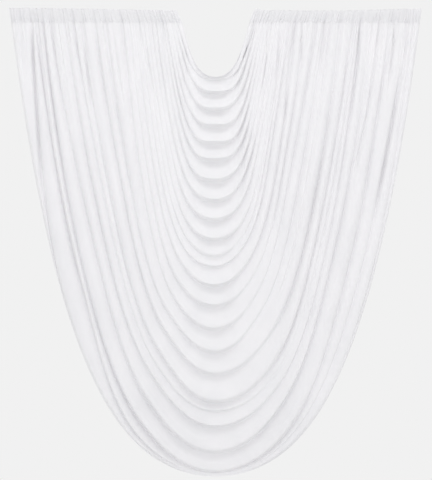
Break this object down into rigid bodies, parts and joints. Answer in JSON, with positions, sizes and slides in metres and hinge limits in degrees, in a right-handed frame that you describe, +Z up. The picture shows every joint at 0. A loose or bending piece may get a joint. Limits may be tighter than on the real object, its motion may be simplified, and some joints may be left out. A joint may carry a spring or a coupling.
{
  "type": "swag curtain panel",
  "caption": "White swag curtain panel: a cloth that falls in stacked U-shaped folds between gathered rod pockets at its left and right ends.",
  "frame": {"origin": "on the rod line at the top edge, midway between the left and right reach of the cloth", "axes": "+X along the rod to the right as seen from the front, +Y to the back, +Z up"},
  "size_m": [3.001, 0.1237, 3.4013],
  "materials": {
    "white_cloth": "matt white woven polyester, opaque"
  },
  "bodies": {
    "root": {"swag_panel": "white_cloth", "rod_pocket_left": "white_cloth", "rod_pocket_right": "white_cloth"}
  },
  "joints": []
}
